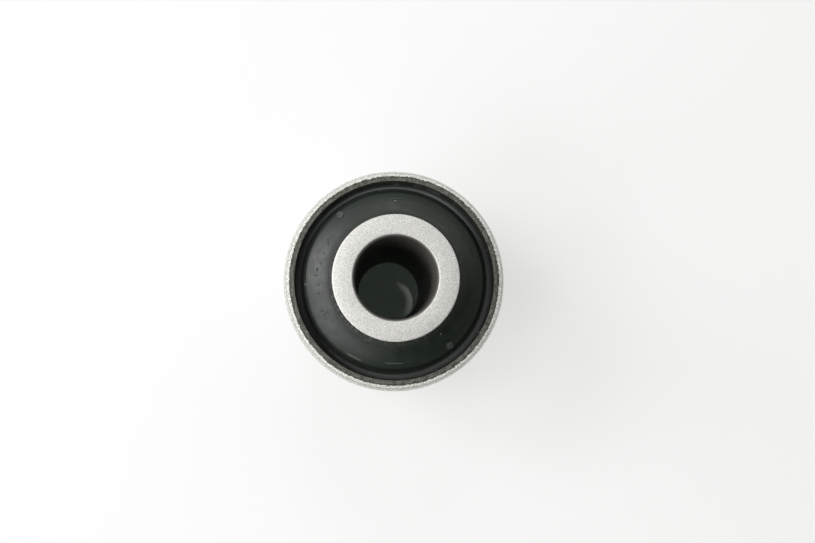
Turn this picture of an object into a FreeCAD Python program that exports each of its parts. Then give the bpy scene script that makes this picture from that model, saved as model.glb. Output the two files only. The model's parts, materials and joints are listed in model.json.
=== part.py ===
import FreeCAD
import Part

import math
import os

# Rubber metal bush: a steel tube inside a wider, shorter steel tube, with a rubber body
# moulded and bonded between them. All sizes are in millimetres. The bush stands on one end
# of its inner sleeve: the origin is the centre of that end face and +Z runs along the bore.

# Inner sleeve, a thick tube that a bolt clamps by its two end faces
BORE_DIAMETER = 12.2
INNER_WALL = 3.25
INNER_LENGTH = 47.0
BORE_CHAMFER = 0.35
INNER_EDGE_CHAMFER = 0.1

# Rubber wall between the two sleeves, which with the two tube walls gives the outer diameter
RUBBER_WALL = 5.9

# Outer sleeve, a thin tube that is pressed into an eye
OUTER_WALL = 1.75
OUTER_LENGTH = 36.0
END_LAND_WIDTH = 0.8
END_LAND_BREAK = 0.12
TURNED_BEVEL_WIDTH = 0.4
TURNED_BEVEL_DROP = 0.05
LEAD_IN_LENGTH = 1.4

# Rubber face at each end: a level ring round the inner sleeve, a fall in two slopes to the
# shoulder, and a step down to the thin flange that lines the outer sleeve. Heights are measured
# from the plane of the outer sleeve's end face.
FACE_STAND = 0.85
LEVEL_WIDTH = 1.2
LEVEL_ROUNDING = 3.3
FACE_FALL = 1.34
BREAK_SHARE = 0.62
BREAK_DROP_SHARE = 0.535
BREAK_ROUNDING = 8.0
SHOULDER_ROUNDING = 1.0
STEP_LEAN = 0.4
FLANGE_WIDTH = 1.0
FLANGE_RECESS = 3.2
FLANGE_FILLET = 0.5

# Gate marks, the two low round stubs where rubber was fed into the mould at the upper end
GATE_DIAMETER = 1.15
GATE_HEIGHT = 0.14
GATE_EDGE = 0.05
GATE_FROM_SHOULDER = 0.8
GATE_ANGLES = (130.0, 310.0)

# Worked out from the sizes above
BORE_RADIUS = BORE_DIAMETER / 2
INNER_RADIUS = BORE_RADIUS + INNER_WALL
SEAT_RADIUS = INNER_RADIUS + RUBBER_WALL
OUTER_RADIUS = SEAT_RADIUS + OUTER_WALL
MIDDLE = INNER_LENGTH / 2
HALF_OUTER = OUTER_LENGTH / 2
STEP_FOOT_RADIUS = SEAT_RADIUS - FLANGE_WIDTH
SHOULDER_RADIUS = STEP_FOOT_RADIUS - STEP_LEAN
LEVEL_END_RADIUS = INNER_RADIUS + LEVEL_WIDTH
BREAK_RADIUS = LEVEL_END_RADIUS + BREAK_SHARE * (SHOULDER_RADIUS - LEVEL_END_RADIUS)
BREAK_HEIGHT = FACE_STAND - BREAK_DROP_SHARE * FACE_FALL
SHOULDER_HEIGHT = FACE_STAND - FACE_FALL

AXIS = FreeCAD.Vector(0, 0, 1)
ORIGIN = FreeCAD.Vector(0, 0, 0)


def rounded_outline(corners):
    """A closed wire in the XZ plane through corners of (radius, height, rounding).

    A corner with a rounding becomes an arc that touches both of its sides. The arc takes
    up less than half of the shorter side, so that neighbouring arcs never meet.
    """
    points = [FreeCAD.Vector(radius, 0, height) for radius, height, _ in corners]
    count = len(points)
    starts = []
    arcs = []
    for index, point in enumerate(points):
        rounding = corners[index][2]
        if not rounding:
            starts.append((point, point))
            arcs.append(None)
            continue
        back = points[index - 1] - point
        ahead = points[(index + 1) % count] - point
        longest = 0.48 * min(back.Length, ahead.Length)
        half_angle = back.getAngle(ahead) / 2
        reach = min(rounding / math.tan(half_angle), longest)
        radius = reach * math.tan(half_angle)
        back.normalize()
        ahead.normalize()
        bisector = (back + ahead).normalize()
        crest = point + bisector * (radius / math.sin(half_angle) - radius)
        first = point + back * reach
        last = point + ahead * reach
        starts.append((first, last))
        arcs.append(Part.Arc(first, crest, last))
    edges = []
    for index in range(count):
        if arcs[index]:
            edges.append(arcs[index].toShape())
        here = starts[index][1]
        there = starts[(index + 1) % count][0]
        edges.append(Part.LineSegment(here, there).toShape())
    return Part.Wire(edges)


def turned(corners):
    """The solid swept by an outline turned once about the bore's axis."""
    return Part.Face(rounded_outline(corners)).revolve(ORIGIN, AXIS, 360)


def both_ends(upper_corners):
    """A full outline from its upper half, which runs from the axis outwards, mirrored at mid-length."""
    upper = [(radius, MIDDLE + height, rounding) for radius, height, rounding in upper_corners]
    lower = [(radius, MIDDLE - height, rounding) for radius, height, rounding in upper_corners]
    return upper + lower[::-1]


def inner_sleeve():
    """Thick-walled tube with flat end faces and a broken edge on either side of each."""
    end = INNER_LENGTH / 2
    return turned(
        both_ends(
            [
                (BORE_RADIUS, end - BORE_CHAMFER, 0),
                (BORE_RADIUS + BORE_CHAMFER, end, 0),
                (INNER_RADIUS - INNER_EDGE_CHAMFER, end, 0),
                (INNER_RADIUS, end - INNER_EDGE_CHAMFER, 0),
            ]
        )
    )


def outer_sleeve():
    """Thin tube: each end has a flat land, a shallow turned bevel and a steep lead-in."""
    end = HALF_OUTER
    land = SEAT_RADIUS + END_LAND_WIDTH
    bevel = land + TURNED_BEVEL_WIDTH
    return turned(
        both_ends(
            [
                (SEAT_RADIUS, end - END_LAND_BREAK, 0),
                (SEAT_RADIUS + END_LAND_BREAK, end, 0),
                (land, end, 0),
                (bevel, end - TURNED_BEVEL_DROP, 0),
                (OUTER_RADIUS, end - TURNED_BEVEL_DROP - LEAD_IN_LENGTH, 0),
            ]
        )
    )


def face_height(radius):
    """Height above the outer sleeve's end plane of the rubber's outer slope at a radius."""
    slope = (SHOULDER_HEIGHT - BREAK_HEIGHT) / (SHOULDER_RADIUS - BREAK_RADIUS)
    return SHOULDER_HEIGHT + slope * (radius - SHOULDER_RADIUS)


def gate_mark(angle):
    """One low round stub on the rubber's upper face, square to the face where it stands."""
    radius = SHOULDER_RADIUS - GATE_FROM_SHOULDER
    lean = math.atan2(BREAK_HEIGHT - SHOULDER_HEIGHT, SHOULDER_RADIUS - BREAK_RADIUS)
    normal = FreeCAD.Vector(math.sin(lean), 0, math.cos(lean))
    foot = FreeCAD.Vector(radius, 0, MIDDLE + HALF_OUTER + face_height(radius))
    root = foot - normal * GATE_DIAMETER / 2
    stub = Part.makeCylinder(GATE_DIAMETER / 2, GATE_DIAMETER / 2 + GATE_HEIGHT, root, normal)
    rim = [edge for edge in stub.Edges if edge.isClosed() and (edge.CenterOfMass - foot).dot(normal) > 0]
    stub = stub.makeChamfer(GATE_EDGE, rim)
    stub.rotate(ORIGIN, AXIS, angle)
    return stub


def rubber_body():
    """One moulded ring, bonded to both sleeves, whose face steps down to a flange at each end."""
    end = HALF_OUTER
    ring = turned(
        both_ends(
            [
                (INNER_RADIUS, end + FACE_STAND, 0),
                (LEVEL_END_RADIUS, end + FACE_STAND, LEVEL_ROUNDING),
                (BREAK_RADIUS, end + BREAK_HEIGHT, BREAK_ROUNDING),
                (SHOULDER_RADIUS, end + SHOULDER_HEIGHT, SHOULDER_ROUNDING),
                (STEP_FOOT_RADIUS, end - FLANGE_RECESS, FLANGE_FILLET),
                (SEAT_RADIUS, end - FLANGE_RECESS, 0),
            ]
        )
    )
    for angle in GATE_ANGLES:
        ring = ring.fuse(gate_mark(angle))
    return ring.removeSplitter()


def single_solid(shape):
    """The one solid that a sub-part must be."""
    if len(shape.Solids) != 1 or not shape.isValid():
        raise ValueError("a sub-part is not one valid solid")
    return shape.Solids[0]


PARTS = {
    "inner_sleeve": inner_sleeve,
    "rubber_body": rubber_body,
    "outer_sleeve": outer_sleeve,
}

os.makedirs("parts", exist_ok=True)
for name, make in PARTS.items():
    solid = single_solid(make())
    solid.exportStep(f"parts/{name}.step")
    print(name, round(solid.Volume, 1), "mm3")
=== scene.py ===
import json
import math

import bmesh
import bpy
from mathutils import Matrix, Vector


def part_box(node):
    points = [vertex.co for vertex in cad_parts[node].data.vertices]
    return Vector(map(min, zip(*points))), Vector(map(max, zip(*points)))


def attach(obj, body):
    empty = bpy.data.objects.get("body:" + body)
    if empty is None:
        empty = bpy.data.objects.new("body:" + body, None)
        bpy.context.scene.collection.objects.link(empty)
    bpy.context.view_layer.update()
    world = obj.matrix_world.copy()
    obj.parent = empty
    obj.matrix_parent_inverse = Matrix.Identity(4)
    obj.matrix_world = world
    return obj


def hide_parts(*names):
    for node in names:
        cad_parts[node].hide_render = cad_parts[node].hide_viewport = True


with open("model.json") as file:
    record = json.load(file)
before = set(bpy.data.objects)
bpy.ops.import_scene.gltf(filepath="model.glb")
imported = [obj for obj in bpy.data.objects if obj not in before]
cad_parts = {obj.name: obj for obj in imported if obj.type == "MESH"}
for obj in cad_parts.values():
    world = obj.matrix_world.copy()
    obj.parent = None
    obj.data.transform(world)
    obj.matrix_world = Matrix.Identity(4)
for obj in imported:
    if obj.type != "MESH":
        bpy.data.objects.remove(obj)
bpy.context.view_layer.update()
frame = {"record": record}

# Inner sleeve: a thick steel tube, faced to length, that a bolt clamps between two cheeks.
# It is shot-blasted all over so that the rubber bonds to it, and its drilled bore stays dull.
MM = 0.001
MOUNTS = {mount["name"]: mount for mount in frame["record"]["mounts"]}
SLEEVE_LOW, SLEEVE_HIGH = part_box("inner_sleeve")
SLEEVE_RADIUS = SLEEVE_HIGH.x
SLEEVE_TOP = SLEEVE_HIGH.z
MIDDLE = (SLEEVE_LOW.z + SLEEVE_HIGH.z) / 2
BORE_RADIUS = MOUNTS["bolt_bore"]["dims"]["r_mm"] * MM
BORE_CHAMFER = (SLEEVE_TOP - MOUNTS["bolt_bore"]["dims"]["length_mm"] * MM) / 2
BORE_ROUNDING = 0.04 * MM
SLEEVE_EDGE = 0.1 * MM
SLEEVE_ROUNDING = 0.05 * MM
SLEEVE_STEPS = 256
ROUNDING_SEGMENTS = 6
MERGE_DISTANCE = 0.0005 * MM
SHARP_ANGLE = math.radians(28)

NOISE_RANGE = (0.3, 0.7)
BLASTED_LIGHT = (0.79, 0.785, 0.75, 1)
BLASTED_DARK = (0.54, 0.535, 0.51, 1)
BLASTED_GRAIN = 0.16 * MM
BLASTED_LIMITS = (0.39, 0.61)
BLASTED_ROUGHNESS = (0.46, 0.60)
BLASTED_DEPTH = 0.02 * MM
BLASTED_STRENGTH = 0.6
BORE_COLOUR = (0.09, 0.084, 0.074, 1)
BORE_BORDER = (BORE_RADIUS + BORE_CHAMFER, BORE_RADIUS + BORE_CHAMFER * 0.45)


def turned_piece(name, corners, steps):
    """A piece turned about the bore's axis, from its corners of (radius, height, rounding)."""
    made = bmesh.new()
    outline = []
    for radius, height, rounding in corners:
        outline.append((made.verts.new((radius, 0, height)), rounding))
    ring = [vert for vert, _ in outline]
    for vert, following in zip(ring, ring[1:] + ring[:1]):
        made.edges.new((vert, following))
    for rounding in sorted({rounding for _, rounding in outline if rounding}):
        bmesh.ops.bevel(
            made,
            geom=[vert for vert, own in outline if own == rounding],
            offset=rounding,
            offset_type="OFFSET",
            segments=ROUNDING_SEGMENTS,
            profile=0.5,
            affect="VERTICES",
            material=-1,
        )
    bmesh.ops.spin(
        made,
        geom=made.verts[:] + made.edges[:],
        cent=(0, 0, 0),
        axis=(0, 0, 1),
        angle=math.tau,
        steps=steps,
        use_merge=True,
    )
    bmesh.ops.remove_doubles(made, verts=made.verts[:], dist=MERGE_DISTANCE)
    bmesh.ops.recalc_face_normals(made, faces=made.faces[:])
    return finished_piece(name, made)


def finished_piece(name, made):
    """The bmesh as an object in the scene, shaded smooth up to sharp corners."""
    mesh = bpy.data.meshes.new(name)
    made.to_mesh(mesh)
    made.free()
    piece = bpy.data.objects.new(name, mesh)
    bpy.context.scene.collection.objects.link(piece)
    mesh.shade_smooth()
    mesh.set_sharp_from_angle(angle=SHARP_ANGLE)
    return piece


def both_ends(upper):
    """A full outline from its upper half, which runs outwards, mirrored at mid-length."""
    lower = [(radius, 2 * MIDDLE - height, rounding) for radius, height, rounding in upper]
    return upper + lower[::-1]


def new_finish(name):
    """A material with its node tree and its shader."""
    finish = bpy.data.materials.new(name)
    finish.use_nodes = True
    return finish, finish.node_tree, finish.node_tree.nodes["Principled BSDF"]


def feed(tree, node, inputs):
    """Links other nodes' outputs to a node's inputs, and sets plain values on the inputs."""
    for socket, value in dict(inputs).items():
        if isinstance(value, bpy.types.NodeSocket):
            tree.links.new(value, node.inputs[socket])
        else:
            node.inputs[socket].default_value = value


def put(tree, kind, inputs=(), **settings):
    """One shader node, with its settings and inputs."""
    made = tree.nodes.new("ShaderNode" + kind)
    for name, value in settings.items():
        setattr(made, name, value)
    feed(tree, made, inputs)
    return made


def sums(tree, operation, *values):
    """The output of one arithmetic node."""
    return put(tree, "Math", enumerate(values), operation=operation).outputs[0]


def ramp(tree, value, start, end, low=0.0, high=1.0):
    """A value that goes smoothly from low to high as the input goes from start to end."""
    made = put(
        tree,
        "MapRange",
        {"Value": value, "From Min": start, "From Max": end, "To Min": low, "To Max": high},
        interpolation_type="SMOOTHSTEP",
    )
    return made.outputs["Result"]


def blended(tree, share, first, second):
    """A colour between two others."""
    return put(tree, "Mix", {0: share, 6: first, 7: second}, data_type="RGBA").outputs[2]


def mottled(tree, noise, limits, dark, light):
    """A colour that goes from dark to light as the noise goes from one limit to the other."""
    return blended(tree, ramp(tree, noise, *limits), dark, light)


def grain(tree, place, size, detail=2.0, roughness=0.5):
    """Noise, mostly within NOISE_RANGE, whose spots are about that many metres across."""
    inputs = {"Vector": place, "Scale": 1 / size, "Detail": detail, "Roughness": roughness}
    return put(tree, "TexNoise", inputs).outputs["Fac"]


def bumps(tree, height, depth, strength=1.0):
    """The normal of a relief that is that many metres deep where its height goes from 0 to 1."""
    inputs = {"Height": height, "Distance": depth, "Strength": strength}
    return put(tree, "Bump", inputs).outputs[0]


def polar(tree, place):
    """A place's distance from the upright axis, its angle round it and its height."""
    parts = put(tree, "SeparateXYZ", {0: place}).outputs
    across = put(tree, "CombineXYZ", {0: parts["X"], 1: parts["Y"]}).outputs[0]
    radius = put(tree, "VectorMath", {0: across}, operation="LENGTH").outputs["Value"]
    return radius, sums(tree, "ARCTAN2", parts["Y"], parts["X"]), parts["Z"]


def blasted_steel():
    """Shot-blasted steel with a fine sparkling grain, and a dull brown bore."""
    finish, tree, shader = new_finish("blasted_steel")
    place = put(tree, "TexCoord").outputs["Object"]
    radius, _, _ = polar(tree, place)
    fine = grain(tree, place, BLASTED_GRAIN, detail=3.0, roughness=0.7)
    steel = mottled(tree, fine, BLASTED_LIMITS, BLASTED_DARK, BLASTED_LIGHT)
    in_bore = ramp(tree, radius, *BORE_BORDER)
    look = {
        "Base Color": blended(tree, in_bore, steel, BORE_COLOUR),
        "Metallic": sums(tree, "SUBTRACT", 1.0, in_bore),
        "Roughness": ramp(tree, fine, *NOISE_RANGE, *BLASTED_ROUGHNESS),
        "Normal": bumps(tree, fine, BLASTED_DEPTH, BLASTED_STRENGTH),
    }
    feed(tree, shader, look)
    return finish


inner_sleeve = turned_piece(
    "inner_sleeve_tube",
    both_ends(
        [
            (BORE_RADIUS, SLEEVE_TOP - BORE_CHAMFER, BORE_ROUNDING),
            (BORE_RADIUS + BORE_CHAMFER, SLEEVE_TOP, BORE_ROUNDING),
            (SLEEVE_RADIUS - SLEEVE_EDGE, SLEEVE_TOP, SLEEVE_ROUNDING),
            (SLEEVE_RADIUS, SLEEVE_TOP - SLEEVE_EDGE, SLEEVE_ROUNDING),
        ]
    ),
    SLEEVE_STEPS,
)
inner_sleeve.data.materials.append(blasted_steel())
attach(inner_sleeve, "root")
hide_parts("inner_sleeve")

# Rubber body: one ring of hard black rubber, moulded between the sleeves and bonded to both.
# Its face is level beside the inner sleeve, falls in two slopes to a shoulder, and steps down
# to a thin flange inside the outer sleeve.
OUTER_LOW, OUTER_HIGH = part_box("outer_sleeve")
OUTER_TOP = OUTER_HIGH.z
SEAT_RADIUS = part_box("rubber_body")[1].x
FACE_TOP = OUTER_TOP + 0.85 * MM
LEVEL_END_RADIUS = SLEEVE_RADIUS + 1.2 * MM
STEP_FOOT_RADIUS = SEAT_RADIUS - 1.0 * MM
SHOULDER_RADIUS = STEP_FOOT_RADIUS - 0.4 * MM
BREAK_RADIUS = LEVEL_END_RADIUS + 0.62 * (SHOULDER_RADIUS - LEVEL_END_RADIUS)
SHOULDER_HEIGHT = FACE_TOP - 1.34 * MM
BREAK_HEIGHT = FACE_TOP - 0.72 * MM
FLANGE_HEIGHT = OUTER_TOP - 3.2 * MM
LEVEL_END_ROUNDING = 0.57 * MM
BREAK_ROUNDING = 0.5 * MM
SHOULDER_ROUNDING = 0.52 * MM
STEP_FOOT_ROUNDING = 0.43 * MM
RUBBER_STEPS = 384

RUBBER_COLOUR = (0.008, 0.014, 0.0085, 1)
RUBBER_ROUGHNESS = (0.35, 0.47)
RUBBER_DEPTH = 0.012 * MM
SKIN_GRAIN = 0.35 * MM
SHEEN_SIZE = 1.3 * MM
SHEEN_LIMITS = (0.35, 0.65)
PATCH_SIZE = 2.0 * MM
PATCH_LIMITS = (0.42, 0.62)

# A border holds where a finish begins and where it is full, here and in the other sections
# The step's steep, shaded flank is painted a paler grey, which is painted light
STEP_LIGHT_COLOUR = (0.045, 0.05, 0.045, 1)
STEP_LIGHT_BORDER = (SHOULDER_RADIUS - 0.15 * MM, STEP_FOOT_RADIUS)
WAVE_SIZE = 1.2 * MM
WAVE_REACH = 0.12 * MM
DUST_COLOUR = (0.18, 0.20, 0.20, 1)
DUST_BORDER = (STEP_FOOT_RADIUS + 0.36 * MM, STEP_FOOT_RADIUS + 0.46 * MM)
CLEAN_BORDER = (SEAT_RADIUS - 0.34 * MM, SEAT_RADIUS - 0.22 * MM)
TORN_COLOUR = (0.075, 0.071, 0.056, 1)
TORN_BORDER = (SLEEVE_RADIUS + 0.9 * MM, SLEEVE_RADIUS + 0.1 * MM)
TORN_STREAK = 0.3 * MM
TORN_STRETCH = (0.6, 0.35)
TORN_LIMITS = (0.50, 0.62)
TORN_SHARE = 0.8
TORN_HEIGHT = 2.0

# The dust on the flange is painted heavier on the lit rear side and fainter in the shade on the
# left, which is painted light and shade; it is heaviest where the sine of the azimuth plus this
# turn, in radians, is highest
DUST_AND_LIGHT_TURN = 0.17
DUST_AND_LIGHT_SINES = (-0.2, 0.95)
DUST_AND_LIGHT_SHARES = (0.25, 1.0)

# The bloom and the pits are on the left, at 180 degrees from the right side either way round. The
# bloom is a pale violet tint kept to that lit side, so it is partly painted sheen
BLOOM_AND_SHEEN_COLOUR = (0.017, 0.0145, 0.022, 1)
BLOOM_SIZE = 0.9 * MM
BLOOM_LIMITS = (0.42, 0.68)
BLOOM_BORDER = (math.radians(100), math.radians(150))
PIT_COLOUR = (0.002, 0.002, 0.002, 1)
PIT_SHARE = 0.8
PIT_HEIGHT = -1.5
PITS = {"spacing": 0.75 * MM, "size": 0.27 * MM, "share": 0.75}
PIT_ROW_RADIUS = 11.7 * MM
PIT_ROW_BORDER = (0.45 * MM, 0.3 * MM)
PIT_ANGLE_BORDER = (math.radians(140), math.radians(152))

# Each scratch has its radius, its first and last azimuth in degrees, and its width. It is full
# within its core, a share of its width, and fades at each end over a share of its length. A dot
# is full up to its core and ends at its reach, both shares of its size.
SCRATCH_COLOUR = (0.10, 0.10, 0.085, 1)
SCRATCH_SHARE = 0.75
SCRATCH_CORE = 0.4
SCRATCH_FADE = 0.15
RUBBER_SCRATCHES = (
    (12.7 * MM, -97.3, -83.4, 0.1 * MM),
    (13.28 * MM, -123.4, -111.8, 0.16 * MM),
)
DOT_CORE = 0.35
DOT_REACH = 0.65
SPECK_COLOUR = (0.30, 0.31, 0.31, 1)
LARGE_SPECKS = {"spacing": 2.3 * MM, "size": 0.17 * MM, "share": 0.05}
SMALL_SPECKS = {"spacing": 1.1 * MM, "size": 0.10 * MM, "share": 0.05}
MOULD_RING_PITCH = 0.45 * MM
MOULD_RING_HEIGHT = 0.6
MOULD_RINGS_RADIUS = 12.8 * MM
MOULD_RINGS_BORDER = (1.0 * MM, 0.5 * MM)
MARK_ROUGHER = 0.25


def stretched_place(tree, place, radius, round_share, radial_share):
    """Places where distances round the axis and away from it count for only those shares."""
    flat = put(tree, "VectorMath", {0: place, 1: (1, 1, 0)}, operation="MULTIPLY").outputs[0]
    outwards = put(tree, "VectorMath", {0: flat}, operation="NORMALIZE").outputs[0]
    scale = SEAT_RADIUS * round_share
    around = put(tree, "VectorMath", {0: outwards, "Scale": scale}, operation="SCALE").outputs[0]
    away = put(tree, "CombineXYZ", {2: sums(tree, "MULTIPLY", radius, radial_share)}).outputs[0]
    return put(tree, "VectorMath", {0: around, 1: away}, operation="ADD").outputs[0]


def dots(tree, place, spacing, size, share):
    """Round dots of that size, scattered flat at that spacing, on that share of the places."""
    inputs = {"Vector": place, "Scale": 1 / spacing}
    found = put(tree, "TexVoronoi", inputs, voronoi_dimensions="2D").outputs
    border = (DOT_REACH * size / spacing, DOT_CORE * size / spacing)
    inside = ramp(tree, found["Distance"], *border)
    chance = put(tree, "SeparateColor", {0: found["Color"]}).outputs[0]
    return sums(tree, "MULTIPLY", inside, sums(tree, "LESS_THAN", chance, share))


def off_from(tree, value, middle):
    """How far a value is from a middle one, to either side."""
    return sums(tree, "ABSOLUTE", sums(tree, "SUBTRACT", value, middle))


def scratch(tree, across_it, angle, middle, first, last, width):
    """A line round the axis at one radius or height, between two azimuths, with faded ends."""
    across = ramp(tree, off_from(tree, across_it, middle), width, width * SCRATCH_CORE)
    fade = SCRATCH_FADE * (last - first)
    start = ramp(tree, angle, math.radians(first), math.radians(first + fade))
    end = ramp(tree, angle, math.radians(last), math.radians(last - fade))
    return sums(tree, "MULTIPLY", across, sums(tree, "MULTIPLY", start, end))


def rubber_skin(tree, place, radius, angle, turned_away):
    """Green-black rubber: violet bloom with painted sheen on its lit left, painted light on the
    step, and dust on the flange, with painted light and shade in how heavy it is.
    """
    # Partly painted sheen: violet bloom patches only on the lit left side, where they lighten the
    # rubber
    patches = grain(tree, place, BLOOM_SIZE, detail=4.0, roughness=0.7)
    lit_left = ramp(tree, turned_away, *BLOOM_BORDER)
    bloom_and_sheen = sums(tree, "MULTIPLY", ramp(tree, patches, *BLOOM_LIMITS), lit_left)
    colour = blended(tree, bloom_and_sheen, RUBBER_COLOUR, BLOOM_AND_SHEEN_COLOUR)

    wavy = sums(tree, "MULTIPLY_ADD", grain(tree, place, WAVE_SIZE), WAVE_REACH, radius)
    # Painted light: the steep step is lifted to a paler grey
    colour = blended(tree, ramp(tree, wavy, *STEP_LIGHT_BORDER), colour, STEP_LIGHT_COLOUR)
    # Painted light and shade: the dust is heavier towards the lit rear and fainter on the shaded
    # left
    towards_lit_rear = sums(tree, "SINE", sums(tree, "ADD", angle, DUST_AND_LIGHT_TURN))
    dust_and_light_share = ramp(tree, towards_lit_rear, *DUST_AND_LIGHT_SINES, *DUST_AND_LIGHT_SHARES)
    clean = ramp(tree, wavy, *CLEAN_BORDER)
    dusty = sums(tree, "SUBTRACT", ramp(tree, wavy, *DUST_BORDER), clean)
    return blended(tree, sums(tree, "MULTIPLY", dusty, dust_and_light_share), colour, DUST_COLOUR)


def scuffed(tree, place, radius, angle, patchy, colour):
    """That colour with two long scratches and a scatter of pale specks."""
    for row in RUBBER_SCRATCHES:
        line = sums(tree, "MULTIPLY", scratch(tree, radius, angle, *row), SCRATCH_SHARE)
        colour = blended(tree, line, colour, SCRATCH_COLOUR)
    small = sums(tree, "MULTIPLY", dots(tree, place, **SMALL_SPECKS), patchy)
    specks = sums(tree, "MAXIMUM", dots(tree, place, **LARGE_SPECKS), small)
    return blended(tree, specks, colour, SPECK_COLOUR)


def rubber_relief(tree, place, radius, patchy, pits, torn_edge):
    """The height of the rubber's skin, with patches of mould rings, pits and the torn edge."""
    waves = sums(tree, "SINE", sums(tree, "MULTIPLY", radius, math.tau / MOULD_RING_PITCH))
    zone = ramp(tree, off_from(tree, radius, MOULD_RINGS_RADIUS), *MOULD_RINGS_BORDER)
    rings = sums(tree, "MULTIPLY", waves, sums(tree, "MULTIPLY", zone, patchy))
    height = grain(tree, place, SKIN_GRAIN, detail=3.0, roughness=0.65)
    height = sums(tree, "MULTIPLY_ADD", rings, MOULD_RING_HEIGHT, height)
    height = sums(tree, "MULTIPLY_ADD", pits, PIT_HEIGHT, height)
    return sums(tree, "MULTIPLY_ADD", torn_edge, TORN_HEIGHT, height)


def moulded_rubber():
    """Black rubber with a low sheen, and with the marks of its mould and of handling."""
    finish, tree, shader = new_finish("moulded_rubber")
    place = put(tree, "TexCoord").outputs["Object"]
    radius, angle, _ = polar(tree, place)
    turned_away = sums(tree, "ABSOLUTE", angle)
    patchy = ramp(tree, grain(tree, place, PATCH_SIZE), *PATCH_LIMITS)

    around = stretched_place(tree, place, radius, *TORN_STRETCH)
    streaks = grain(tree, around, TORN_STREAK, detail=3.0)
    beside = ramp(tree, radius, *TORN_BORDER)
    torn = sums(tree, "MULTIPLY", beside, ramp(tree, streaks, *TORN_LIMITS, 0.0, TORN_SHARE))

    in_row = ramp(tree, off_from(tree, radius, PIT_ROW_RADIUS), *PIT_ROW_BORDER)
    in_row = sums(tree, "MULTIPLY", ramp(tree, turned_away, *PIT_ANGLE_BORDER), in_row)
    pits = sums(tree, "MULTIPLY", dots(tree, place, **PITS), in_row)

    colour = rubber_skin(tree, place, radius, angle, turned_away)
    colour = blended(tree, torn, colour, TORN_COLOUR)
    colour = scuffed(tree, place, radius, angle, patchy, colour)
    colour = blended(tree, sums(tree, "MULTIPLY", pits, PIT_SHARE), colour, PIT_COLOUR)

    cloud = grain(tree, place, SHEEN_SIZE, detail=5.0, roughness=0.7)
    satin = ramp(tree, cloud, *SHEEN_LIMITS, *RUBBER_ROUGHNESS)
    marks = sums(tree, "MAXIMUM", pits, beside)
    torn_edge = sums(tree, "MULTIPLY", beside, streaks)
    relief = rubber_relief(tree, place, radius, patchy, pits, torn_edge)
    look = {
        "Base Color": colour,
        "Roughness": sums(tree, "MULTIPLY_ADD", marks, MARK_ROUGHER, satin),
        "Normal": bumps(tree, relief, RUBBER_DEPTH),
    }
    feed(tree, shader, look)
    return finish


rubber_body = turned_piece(
    "moulded_rubber_ring",
    both_ends(
        [
            (SLEEVE_RADIUS, FACE_TOP, 0),
            (LEVEL_END_RADIUS, FACE_TOP, LEVEL_END_ROUNDING),
            (BREAK_RADIUS, BREAK_HEIGHT, BREAK_ROUNDING),
            (SHOULDER_RADIUS, SHOULDER_HEIGHT, SHOULDER_ROUNDING),
            (STEP_FOOT_RADIUS, FLANGE_HEIGHT, STEP_FOOT_ROUNDING),
            (SEAT_RADIUS, FLANGE_HEIGHT, 0),
        ]
    ),
    RUBBER_STEPS,
)
rubber_body.data.materials.append(moulded_rubber())
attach(rubber_body, "root")
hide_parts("rubber_body")

# Gate marks: two low round stubs of rubber, left where it was fed into the mould and cut off.
# They are one with the body, stand square to its outer slope, and are paler and rougher.
GATE_ANGLES = (130, 310)
GATE_RADIUS = SHOULDER_RADIUS - 0.8 * MM
GATE_DIAMETER = 1.15 * MM
GATE_LENGTH = 0.5 * MM
GATE_MIDDLE = -0.11 * MM
GATE_ROUNDING = 0.05 * MM
GATE_ROUNDING_SEGMENTS = 3
GATE_SIDES = 40
GATE_COLOUR = (0.065, 0.068, 0.067, 1)
GATE_ROUGHNESS = 0.6
GATE_GRAIN = 0.25 * MM
GATE_DEPTH = 0.03 * MM


def gate_rubber():
    """The paler, rougher rubber of a gate that was cut off."""
    finish, tree, shader = new_finish("gate_rubber")
    place = put(tree, "TexCoord").outputs["Object"]
    torn = grain(tree, place, GATE_GRAIN, detail=3.0)
    look = {
        "Base Color": mottled(tree, torn, NOISE_RANGE, RUBBER_COLOUR, GATE_COLOUR),
        "Roughness": GATE_ROUGHNESS,
        "Normal": bumps(tree, torn, GATE_DEPTH),
    }
    feed(tree, shader, look)
    return finish


def gate_mark(azimuth, finish):
    """One stub, a short round bar with a rounded rim that is sunk in the slope."""
    made = bmesh.new()
    bmesh.ops.create_cone(
        made,
        cap_ends=True,
        segments=GATE_SIDES,
        radius1=GATE_DIAMETER / 2,
        radius2=GATE_DIAMETER / 2,
        depth=GATE_LENGTH,
    )
    bmesh.ops.bevel(
        made,
        geom=[edge for edge in made.edges if min(vert.co.z for vert in edge.verts) > 0],
        offset=GATE_ROUNDING,
        segments=GATE_ROUNDING_SEGMENTS,
        profile=0.5,
        affect="EDGES",
        material=-1,
    )
    slope = (SHOULDER_HEIGHT - BREAK_HEIGHT) / (SHOULDER_RADIUS - BREAK_RADIUS)
    foot = Vector((GATE_RADIUS, 0, SHOULDER_HEIGHT + slope * (GATE_RADIUS - SHOULDER_RADIUS)))
    stand = Matrix.Translation(foot) @ Matrix.Rotation(-math.atan(slope), 4, "Y")
    stand = stand @ Matrix.Translation((0, 0, GATE_MIDDLE))
    made.transform(Matrix.Rotation(math.radians(azimuth), 4, "Z") @ stand)
    bmesh.ops.recalc_face_normals(made, faces=made.faces[:])
    piece = finished_piece(f"gate_mark_{azimuth}", made)
    piece.data.materials.append(finish)
    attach(piece, "root")


gate_finish = gate_rubber()
for gate_angle in GATE_ANGLES:
    gate_mark(gate_angle, gate_finish)

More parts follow.
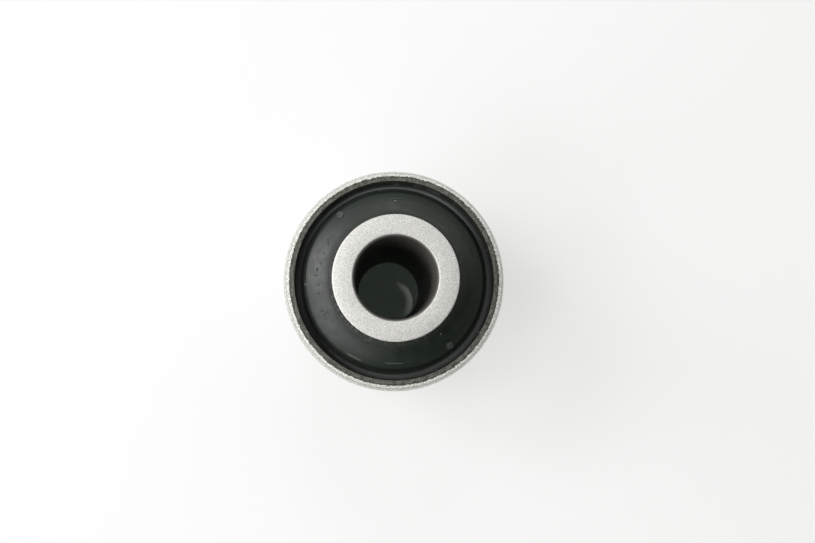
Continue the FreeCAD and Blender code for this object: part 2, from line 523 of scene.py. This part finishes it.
# Outer sleeve: a thin drawn steel tube that is pressed into an eye. Its ends are turned with a
# shallow bevel and a lead-in; the flat land inside them is dark, and so is the coat on the inner
# wall that the rubber bonds to.
OUTER_RADIUS = MOUNTS["press_seat"]["dims"]["r_mm"] * MM
LAND_RADIUS = SEAT_RADIUS + 0.8 * MM
BEVEL_RADIUS = LAND_RADIUS + 0.4 * MM
BEVEL_DROP = 0.05 * MM
LEAD_IN_DROP = (OUTER_TOP - OUTER_LOW.z - MOUNTS["press_seat"]["dims"]["length_mm"] * MM) / 2
SEAT_ROUNDING = 0.12 * MM
BEVEL_ROUNDING = 0.04 * MM
OUTER_ROUNDING = 0.1 * MM
OUTER_STEPS = 512

LAND_DARK = (0.085, 0.086, 0.074, 1)
LAND_LIGHT = (0.235, 0.236, 0.212, 1)
LAND_LIMITS = (0.40, 0.60)
STEEL_DARK = (0.46, 0.457, 0.434, 1)
STEEL_LIGHT = (0.82, 0.817, 0.783, 1)
STEEL_LIMITS = (0.36, 0.58)
STEEL_ROUGHNESS = (0.70, 0.84)
STEEL_DEPTH = 0.012 * MM
STREAK_SIZE = 0.3 * MM
STREAK_STRETCH = (0.4, 1.0)
SPECKLE_SIZE = 0.28 * MM
CORNER_LINE_RADIUS = BEVEL_RADIUS + 0.1 * MM
CORNER_LINE_BORDER = (0.09 * MM, 0.03 * MM)
CORNER_LINE_SHARE = 0.5
RAGGED_SIZE = 0.45 * MM
RAGGED_RADIUS = LAND_RADIUS + 0.2 * MM
BRIGHT_BORDER = (RAGGED_RADIUS, RAGGED_RADIUS + 0.06 * MM)
BURR_COLOUR = (0.035, 0.035, 0.03, 1)
BURR_BORDER = (RAGGED_RADIUS - 0.25 * MM, RAGGED_RADIUS - 0.12 * MM)
BURR_SHARE = 0.4

WALL_DARK = (0.43, 0.43, 0.413, 1)
WALL_LIGHT = (0.54, 0.54, 0.52, 1)
WALL_STAIN = (0.33, 0.32, 0.295, 1)
WALL_BORDER = (OUTER_RADIUS - 0.12 * MM, OUTER_RADIUS - 0.03 * MM)
WALL_SMOOTHER = -0.34
DRAWN_LINE = 0.10 * MM
DRAWN_STRETCH = (1, 1, 0.025)
DRAWN_HEIGHT = 0.7
STAIN_SIZE = 7.0 * MM
STAIN_LIMITS = (0.45, 0.75)
STAIN_SHARE = 0.35

# The flaky patch and each scratch have their height, first and last azimuth in degrees, and width
COAT_COLOUR = (0.022, 0.0245, 0.019, 1)
COAT_BORDER = (SEAT_RADIUS + 0.08 * MM, SEAT_RADIUS + 0.02 * MM)
COAT_SMOOTHER = -0.35
FLAKE_COLOUR = (0.12, 0.12, 0.11, 1)
FLAKE_LIMITS = (0.60, 0.70)
FLAKY_EXTRA = 0.14
FLAKY_PATCH = (OUTER_TOP - 1.9 * MM, 60.0, 80.0, 1.4 * MM)
BARE_COLOUR = (0.42, 0.43, 0.42, 1)
COAT_SCRATCHES = (
    (OUTER_TOP - 2.6 * MM, 87.0, 91.0, 0.3 * MM),
    (OUTER_TOP - 1.9 * MM, -98.6, -96.8, 0.3 * MM),
    (OUTER_TOP - 2.4 * MM, -86.9, -85.6, 0.3 * MM),
)


def turned_end(tree, place, radius, streaks, speckle):
    """The end of the tube: a mottled dark land, a ragged burr, and a bright bevel and lead-in."""
    mottle = sums(tree, "MULTIPLY", sums(tree, "ADD", streaks, speckle), 0.5)
    land = mottled(tree, mottle, LAND_LIMITS, LAND_DARK, LAND_LIGHT)
    steel = mottled(tree, speckle, STEEL_LIMITS, STEEL_DARK, STEEL_LIGHT)
    off_line = off_from(tree, radius, CORNER_LINE_RADIUS)
    line = ramp(tree, off_line, *CORNER_LINE_BORDER, 0.0, CORNER_LINE_SHARE)
    steel = blended(tree, line, steel, LAND_LIGHT)
    teeth = grain(tree, place, RAGGED_SIZE, detail=3.0)
    ragged = sums(tree, "MULTIPLY_ADD", teeth, RAGGED_SIZE, radius)
    burr = ramp(tree, ragged, *BURR_BORDER, 0.0, BURR_SHARE)
    colour = blended(tree, burr, land, BURR_COLOUR)
    return blended(tree, ramp(tree, ragged, *BRIGHT_BORDER), colour, steel)


def drawn_wall(tree, place, lines):
    """The outside of the tube, with fine lines along it and large faint stains."""
    stains = grain(tree, place, STAIN_SIZE, detail=4.0, roughness=0.6)
    wall = mottled(tree, lines, NOISE_RANGE, WALL_DARK, WALL_LIGHT)
    return blended(tree, ramp(tree, stains, *STAIN_LIMITS, 0.0, STAIN_SHARE), wall, WALL_STAIN)


def black_coat(tree, angle, height, streaks):
    """The coat on the inside of the tube, with a flaky patch and a few bare scratches."""
    flaky = scratch(tree, height, angle, *FLAKY_PATCH)
    flakes = ramp(tree, sums(tree, "MULTIPLY_ADD", flaky, FLAKY_EXTRA, streaks), *FLAKE_LIMITS)
    coat = blended(tree, flakes, COAT_COLOUR, FLAKE_COLOUR)
    for row in COAT_SCRATCHES:
        coat = blended(tree, scratch(tree, height, angle, *row), coat, BARE_COLOUR)
    return coat


def drawn_steel():
    """Steel tube with drawn lines along its wall, turned ends, and a black coat inside."""
    finish, tree, shader = new_finish("drawn_steel")
    place = put(tree, "TexCoord").outputs["Object"]
    radius, angle, height = polar(tree, place)
    along = put(tree, "VectorMath", {0: place, 1: DRAWN_STRETCH}, operation="MULTIPLY").outputs[0]
    lines = grain(tree, along, DRAWN_LINE, detail=3.0, roughness=0.55)
    around = stretched_place(tree, place, radius, *STREAK_STRETCH)
    streaks = grain(tree, around, STREAK_SIZE, detail=4.0, roughness=0.65)
    speckle = grain(tree, place, SPECKLE_SIZE, detail=3.0, roughness=0.7)
    on_wall = ramp(tree, radius, *WALL_BORDER)
    coated = ramp(tree, radius, *COAT_BORDER)

    colour = turned_end(tree, place, radius, streaks, speckle)
    colour = blended(tree, on_wall, colour, drawn_wall(tree, place, lines))
    colour = blended(tree, coated, colour, black_coat(tree, angle, height, streaks))

    rough = ramp(tree, speckle, *NOISE_RANGE, *STEEL_ROUGHNESS)
    rough = sums(tree, "MULTIPLY_ADD", on_wall, WALL_SMOOTHER, rough)
    off_wall = sums(tree, "SUBTRACT", 1.0, on_wall)
    relief = sums(tree, "MULTIPLY", sums(tree, "ADD", streaks, speckle), off_wall)
    drawn = sums(tree, "MULTIPLY", on_wall, DRAWN_HEIGHT)
    relief = sums(tree, "MULTIPLY_ADD", lines, drawn, relief)
    look = {
        "Base Color": colour,
        "Metallic": sums(tree, "SUBTRACT", 1.0, coated),
        "Roughness": sums(tree, "MULTIPLY_ADD", coated, COAT_SMOOTHER, rough),
        "Normal": bumps(tree, relief, STEEL_DEPTH),
    }
    feed(tree, shader, look)
    return finish


outer_sleeve = turned_piece(
    "outer_sleeve_tube",
    both_ends(
        [
            (SEAT_RADIUS, OUTER_TOP, SEAT_ROUNDING),
            (LAND_RADIUS, OUTER_TOP, 0),
            (BEVEL_RADIUS, OUTER_TOP - BEVEL_DROP, BEVEL_ROUNDING),
            (OUTER_RADIUS, OUTER_TOP - LEAD_IN_DROP, OUTER_ROUNDING),
        ]
    ),
    OUTER_STEPS,
)
outer_sleeve.data.materials.append(drawn_steel())
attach(outer_sleeve, "root")
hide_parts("outer_sleeve")

# Table: a plain white surface. It glows a little where it is seen or mirrored, which keeps its
# shadow pale. Under the bore its glow is turned down to a dim, greenish painted light, which
# stands for the light that comes down the bore. A paler crescent painted on it there is a painted
# reflection from the bore.
TABLE_SIZE = 6.0
TABLE_COLOUR = (0.86, 0.86, 0.91, 1)
TABLE_ROUGHNESS = 0.9
TABLE_GLOW = 0.58
TABLE_FADE = (0.12, 0.6)
GLOW_COLOUR = (1.0, 1.0, 0.955, 1)
WHITE = (1, 1, 1, 1)
# Painted light under the bore, and a crescent of painted reflection
BORE_GLOW = 0.03
BORE_GLOW_COLOUR = (0.48, 0.63, 0.52, 1)
BORE_GLOW_BORDER = (SLEEVE_RADIUS * 0.9, SLEEVE_RADIUS * 1.1)
REFLECTED_CRESCENT_COLOUR = (2.3, 2.45, 2.3, 1)
CRESCENT_CENTRE = Vector((0.7, -1.9, 0)) * MM
CRESCENT_RADIUS = 4.2 * MM
CRESCENT_INNER = (CRESCENT_RADIUS - 1.6 * MM, CRESCENT_RADIUS - 0.3 * MM)
CRESCENT_OUTER = (CRESCENT_RADIUS + 0.3 * MM, CRESCENT_RADIUS - 0.05 * MM)
CRESCENT_ANGLE = 0.2
CRESCENT_END = (1.25, 0.4)


def bore_floor(tree, place):
    """What is seen of the table through the bore: a dim painted light, with a paler crescent of
    painted reflection.
    """
    inputs = {0: place, 1: CRESCENT_CENTRE}
    shifted = put(tree, "VectorMath", inputs, operation="SUBTRACT").outputs[0]
    radius, angle, _ = polar(tree, shifted)
    inner = ramp(tree, radius, *CRESCENT_INNER)
    outer = ramp(tree, radius, *CRESCENT_OUTER)
    ends = ramp(tree, off_from(tree, angle, CRESCENT_ANGLE), *CRESCENT_END)
    reflected_crescent = sums(tree, "MULTIPLY", sums(tree, "MULTIPLY", inner, outer), ends)
    return blended(tree, reflected_crescent, BORE_GLOW_COLOUR, REFLECTED_CRESCENT_COLOUR)


def seen_or_mirrored(tree):
    """1 for what is looked at, directly or in a shiny or clear surface, and 0 for light only."""
    rays = put(tree, "LightPath").outputs
    indirect = sums(tree, "MAXIMUM", rays["Is Glossy Ray"], rays["Is Transmission Ray"])
    return sums(tree, "MAXIMUM", rays["Is Camera Ray"], indirect)


def white_table():
    """A matt white surface, which turns into the plain white surround further out."""
    finish, tree, shader = new_finish("white_table")
    look = {
        "Base Color": TABLE_COLOUR,
        "Roughness": TABLE_ROUGHNESS,
        "Specular IOR Level": 0.0,
    }
    feed(tree, shader, look)
    place = put(tree, "TexCoord").outputs["Object"]
    radius, _, _ = polar(tree, place)
    outside = ramp(tree, radius, *BORE_GLOW_BORDER)
    far = ramp(tree, radius, *TABLE_FADE)
    share = sums(tree, "MULTIPLY_ADD", outside, TABLE_GLOW - BORE_GLOW, BORE_GLOW)
    share = sums(tree, "MAXIMUM", share, far)
    share = sums(tree, "MULTIPLY", share, seen_or_mirrored(tree))
    glow = blended(tree, outside, bore_floor(tree, place), GLOW_COLOUR)
    glow = blended(tree, far, glow, WHITE)
    white = put(tree, "Emission", {"Color": glow, "Strength": 1.0}).outputs[0]
    mixed = put(tree, "MixShader", {0: share, 1: shader.outputs[0], 2: white})
    tree.links.new(mixed.outputs[0], tree.nodes["Material Output"].inputs["Surface"])
    return finish


table_mesh = bpy.data.meshes.new("table")
table_top = bmesh.new()
bmesh.ops.create_grid(table_top, x_segments=1, y_segments=1, size=TABLE_SIZE / 2)
table_top.to_mesh(table_mesh)
table_top.free()
table = bpy.data.objects.new("table", table_mesh)
bpy.context.scene.collection.objects.link(table)
table_mesh.materials.append(white_table())

# Light: a group of lamps on the left, from high to low, with others behind and on the right, in
# a room that is dim overhead. Its white surround is seen directly, and mirrored low all round.
# A lamp's azimuth and its tilt from upright are in degrees, its width is in metres, and a
# brightness of 1 is that of a fully lit white surface. Heights in the room go up to 1 overhead.
LAMP_DISTANCE = 0.6
LAMPS = (
    ("left_180_20", 180, 20, 0.16, 9.2),
    ("left_150_38", 150, 38, 0.16, 10.2),
    ("left_180_38", 180, 38, 0.16, 5.9),
    ("left_210_38", 210, 38, 0.16, 5.0),
    ("left_240_38", 240, 38, 0.16, 4.0),
    ("left_165_55", 165, 55, 0.3, 5.0),
    ("left_210_55", 210, 55, 0.3, 2.8),
    ("rear", 90, 38, 0.16, 6.1),
    ("low_rear", 120, 50, 0.3, 0.8),
    ("right", 45, 32, 0.35, 1.6),
)
ROOM_LIGHT = 0.02
HORIZON_LIGHT = 0.17
HORIZON_BORDER = (0.75, 0.35)
MIRRORED_BORDER = (0.4, 0.1)


def lamp(name, azimuth, tilt, width, brightness):
    """A round lamp that faces the bush and isn't seen itself."""
    data = bpy.data.lights.new(name, "AREA")
    data.shape = "DISK"
    data.size = width
    data.energy = brightness * math.pi * math.pi * (width / 2) ** 2
    made = bpy.data.objects.new(name, data)
    bpy.context.scene.collection.objects.link(made)
    across = Matrix.Rotation(math.radians(azimuth), 4, "Z")
    lean = Matrix.Rotation(math.radians(tilt), 4, "Y")
    made.matrix_world = across @ lean @ Matrix.Translation((0, 0, LAMP_DISTANCE))
    made.visible_camera = False


for row in LAMPS:
    lamp(*row)

world = bpy.data.worlds.new("room")
bpy.context.scene.world = world
world.use_nodes = True
room = world.node_tree
surround = room.nodes["Background"]
surround.inputs["Color"].default_value = WHITE
upwards = put(room, "SeparateXYZ", {0: put(room, "TexCoord").outputs["Generated"]}).outputs["Z"]
room_level = ramp(room, upwards, *HORIZON_BORDER, ROOM_LIGHT, HORIZON_LIGHT)
all_round = ramp(room, upwards, *MIRRORED_BORDER)
mirrored = sums(room, "MULTIPLY", all_round, seen_or_mirrored(room))
seen_directly = put(room, "LightPath").outputs["Is Camera Ray"]
white_level = sums(room, "MAXIMUM", mirrored, seen_directly)
room.links.new(sums(room, "MAXIMUM", room_level, white_level), surround.inputs["Strength"])

# Camera: almost straight above the bush, and looking a little towards its right rear side.
LENS = 35.0
FILM_WIDTH = 36.0
CLIP_START = 0.01
CAMERA_PLACE = Vector((-3.95, -7.6, 162.25)) * MM
CAMERA_VIEW = Vector((0.0488, 0.0736, -1.0))

forward = CAMERA_VIEW.normalized()
right = forward.cross(Vector((0, 1, 0))).normalized()
upward = right.cross(forward)
camera_data = bpy.data.cameras.new("camera")
camera_data.lens = LENS
camera_data.sensor_width = FILM_WIDTH
camera_data.clip_start = CLIP_START
camera = bpy.data.objects.new("camera", camera_data)
bpy.context.scene.collection.objects.link(camera)
turn = Matrix((right, upward, -forward)).transposed().to_4x4()
camera.matrix_world = Matrix.Translation(CAMERA_PLACE) @ turn
bpy.context.scene.camera = camera
bpy.context.scene.view_settings.view_transform = "Standard"
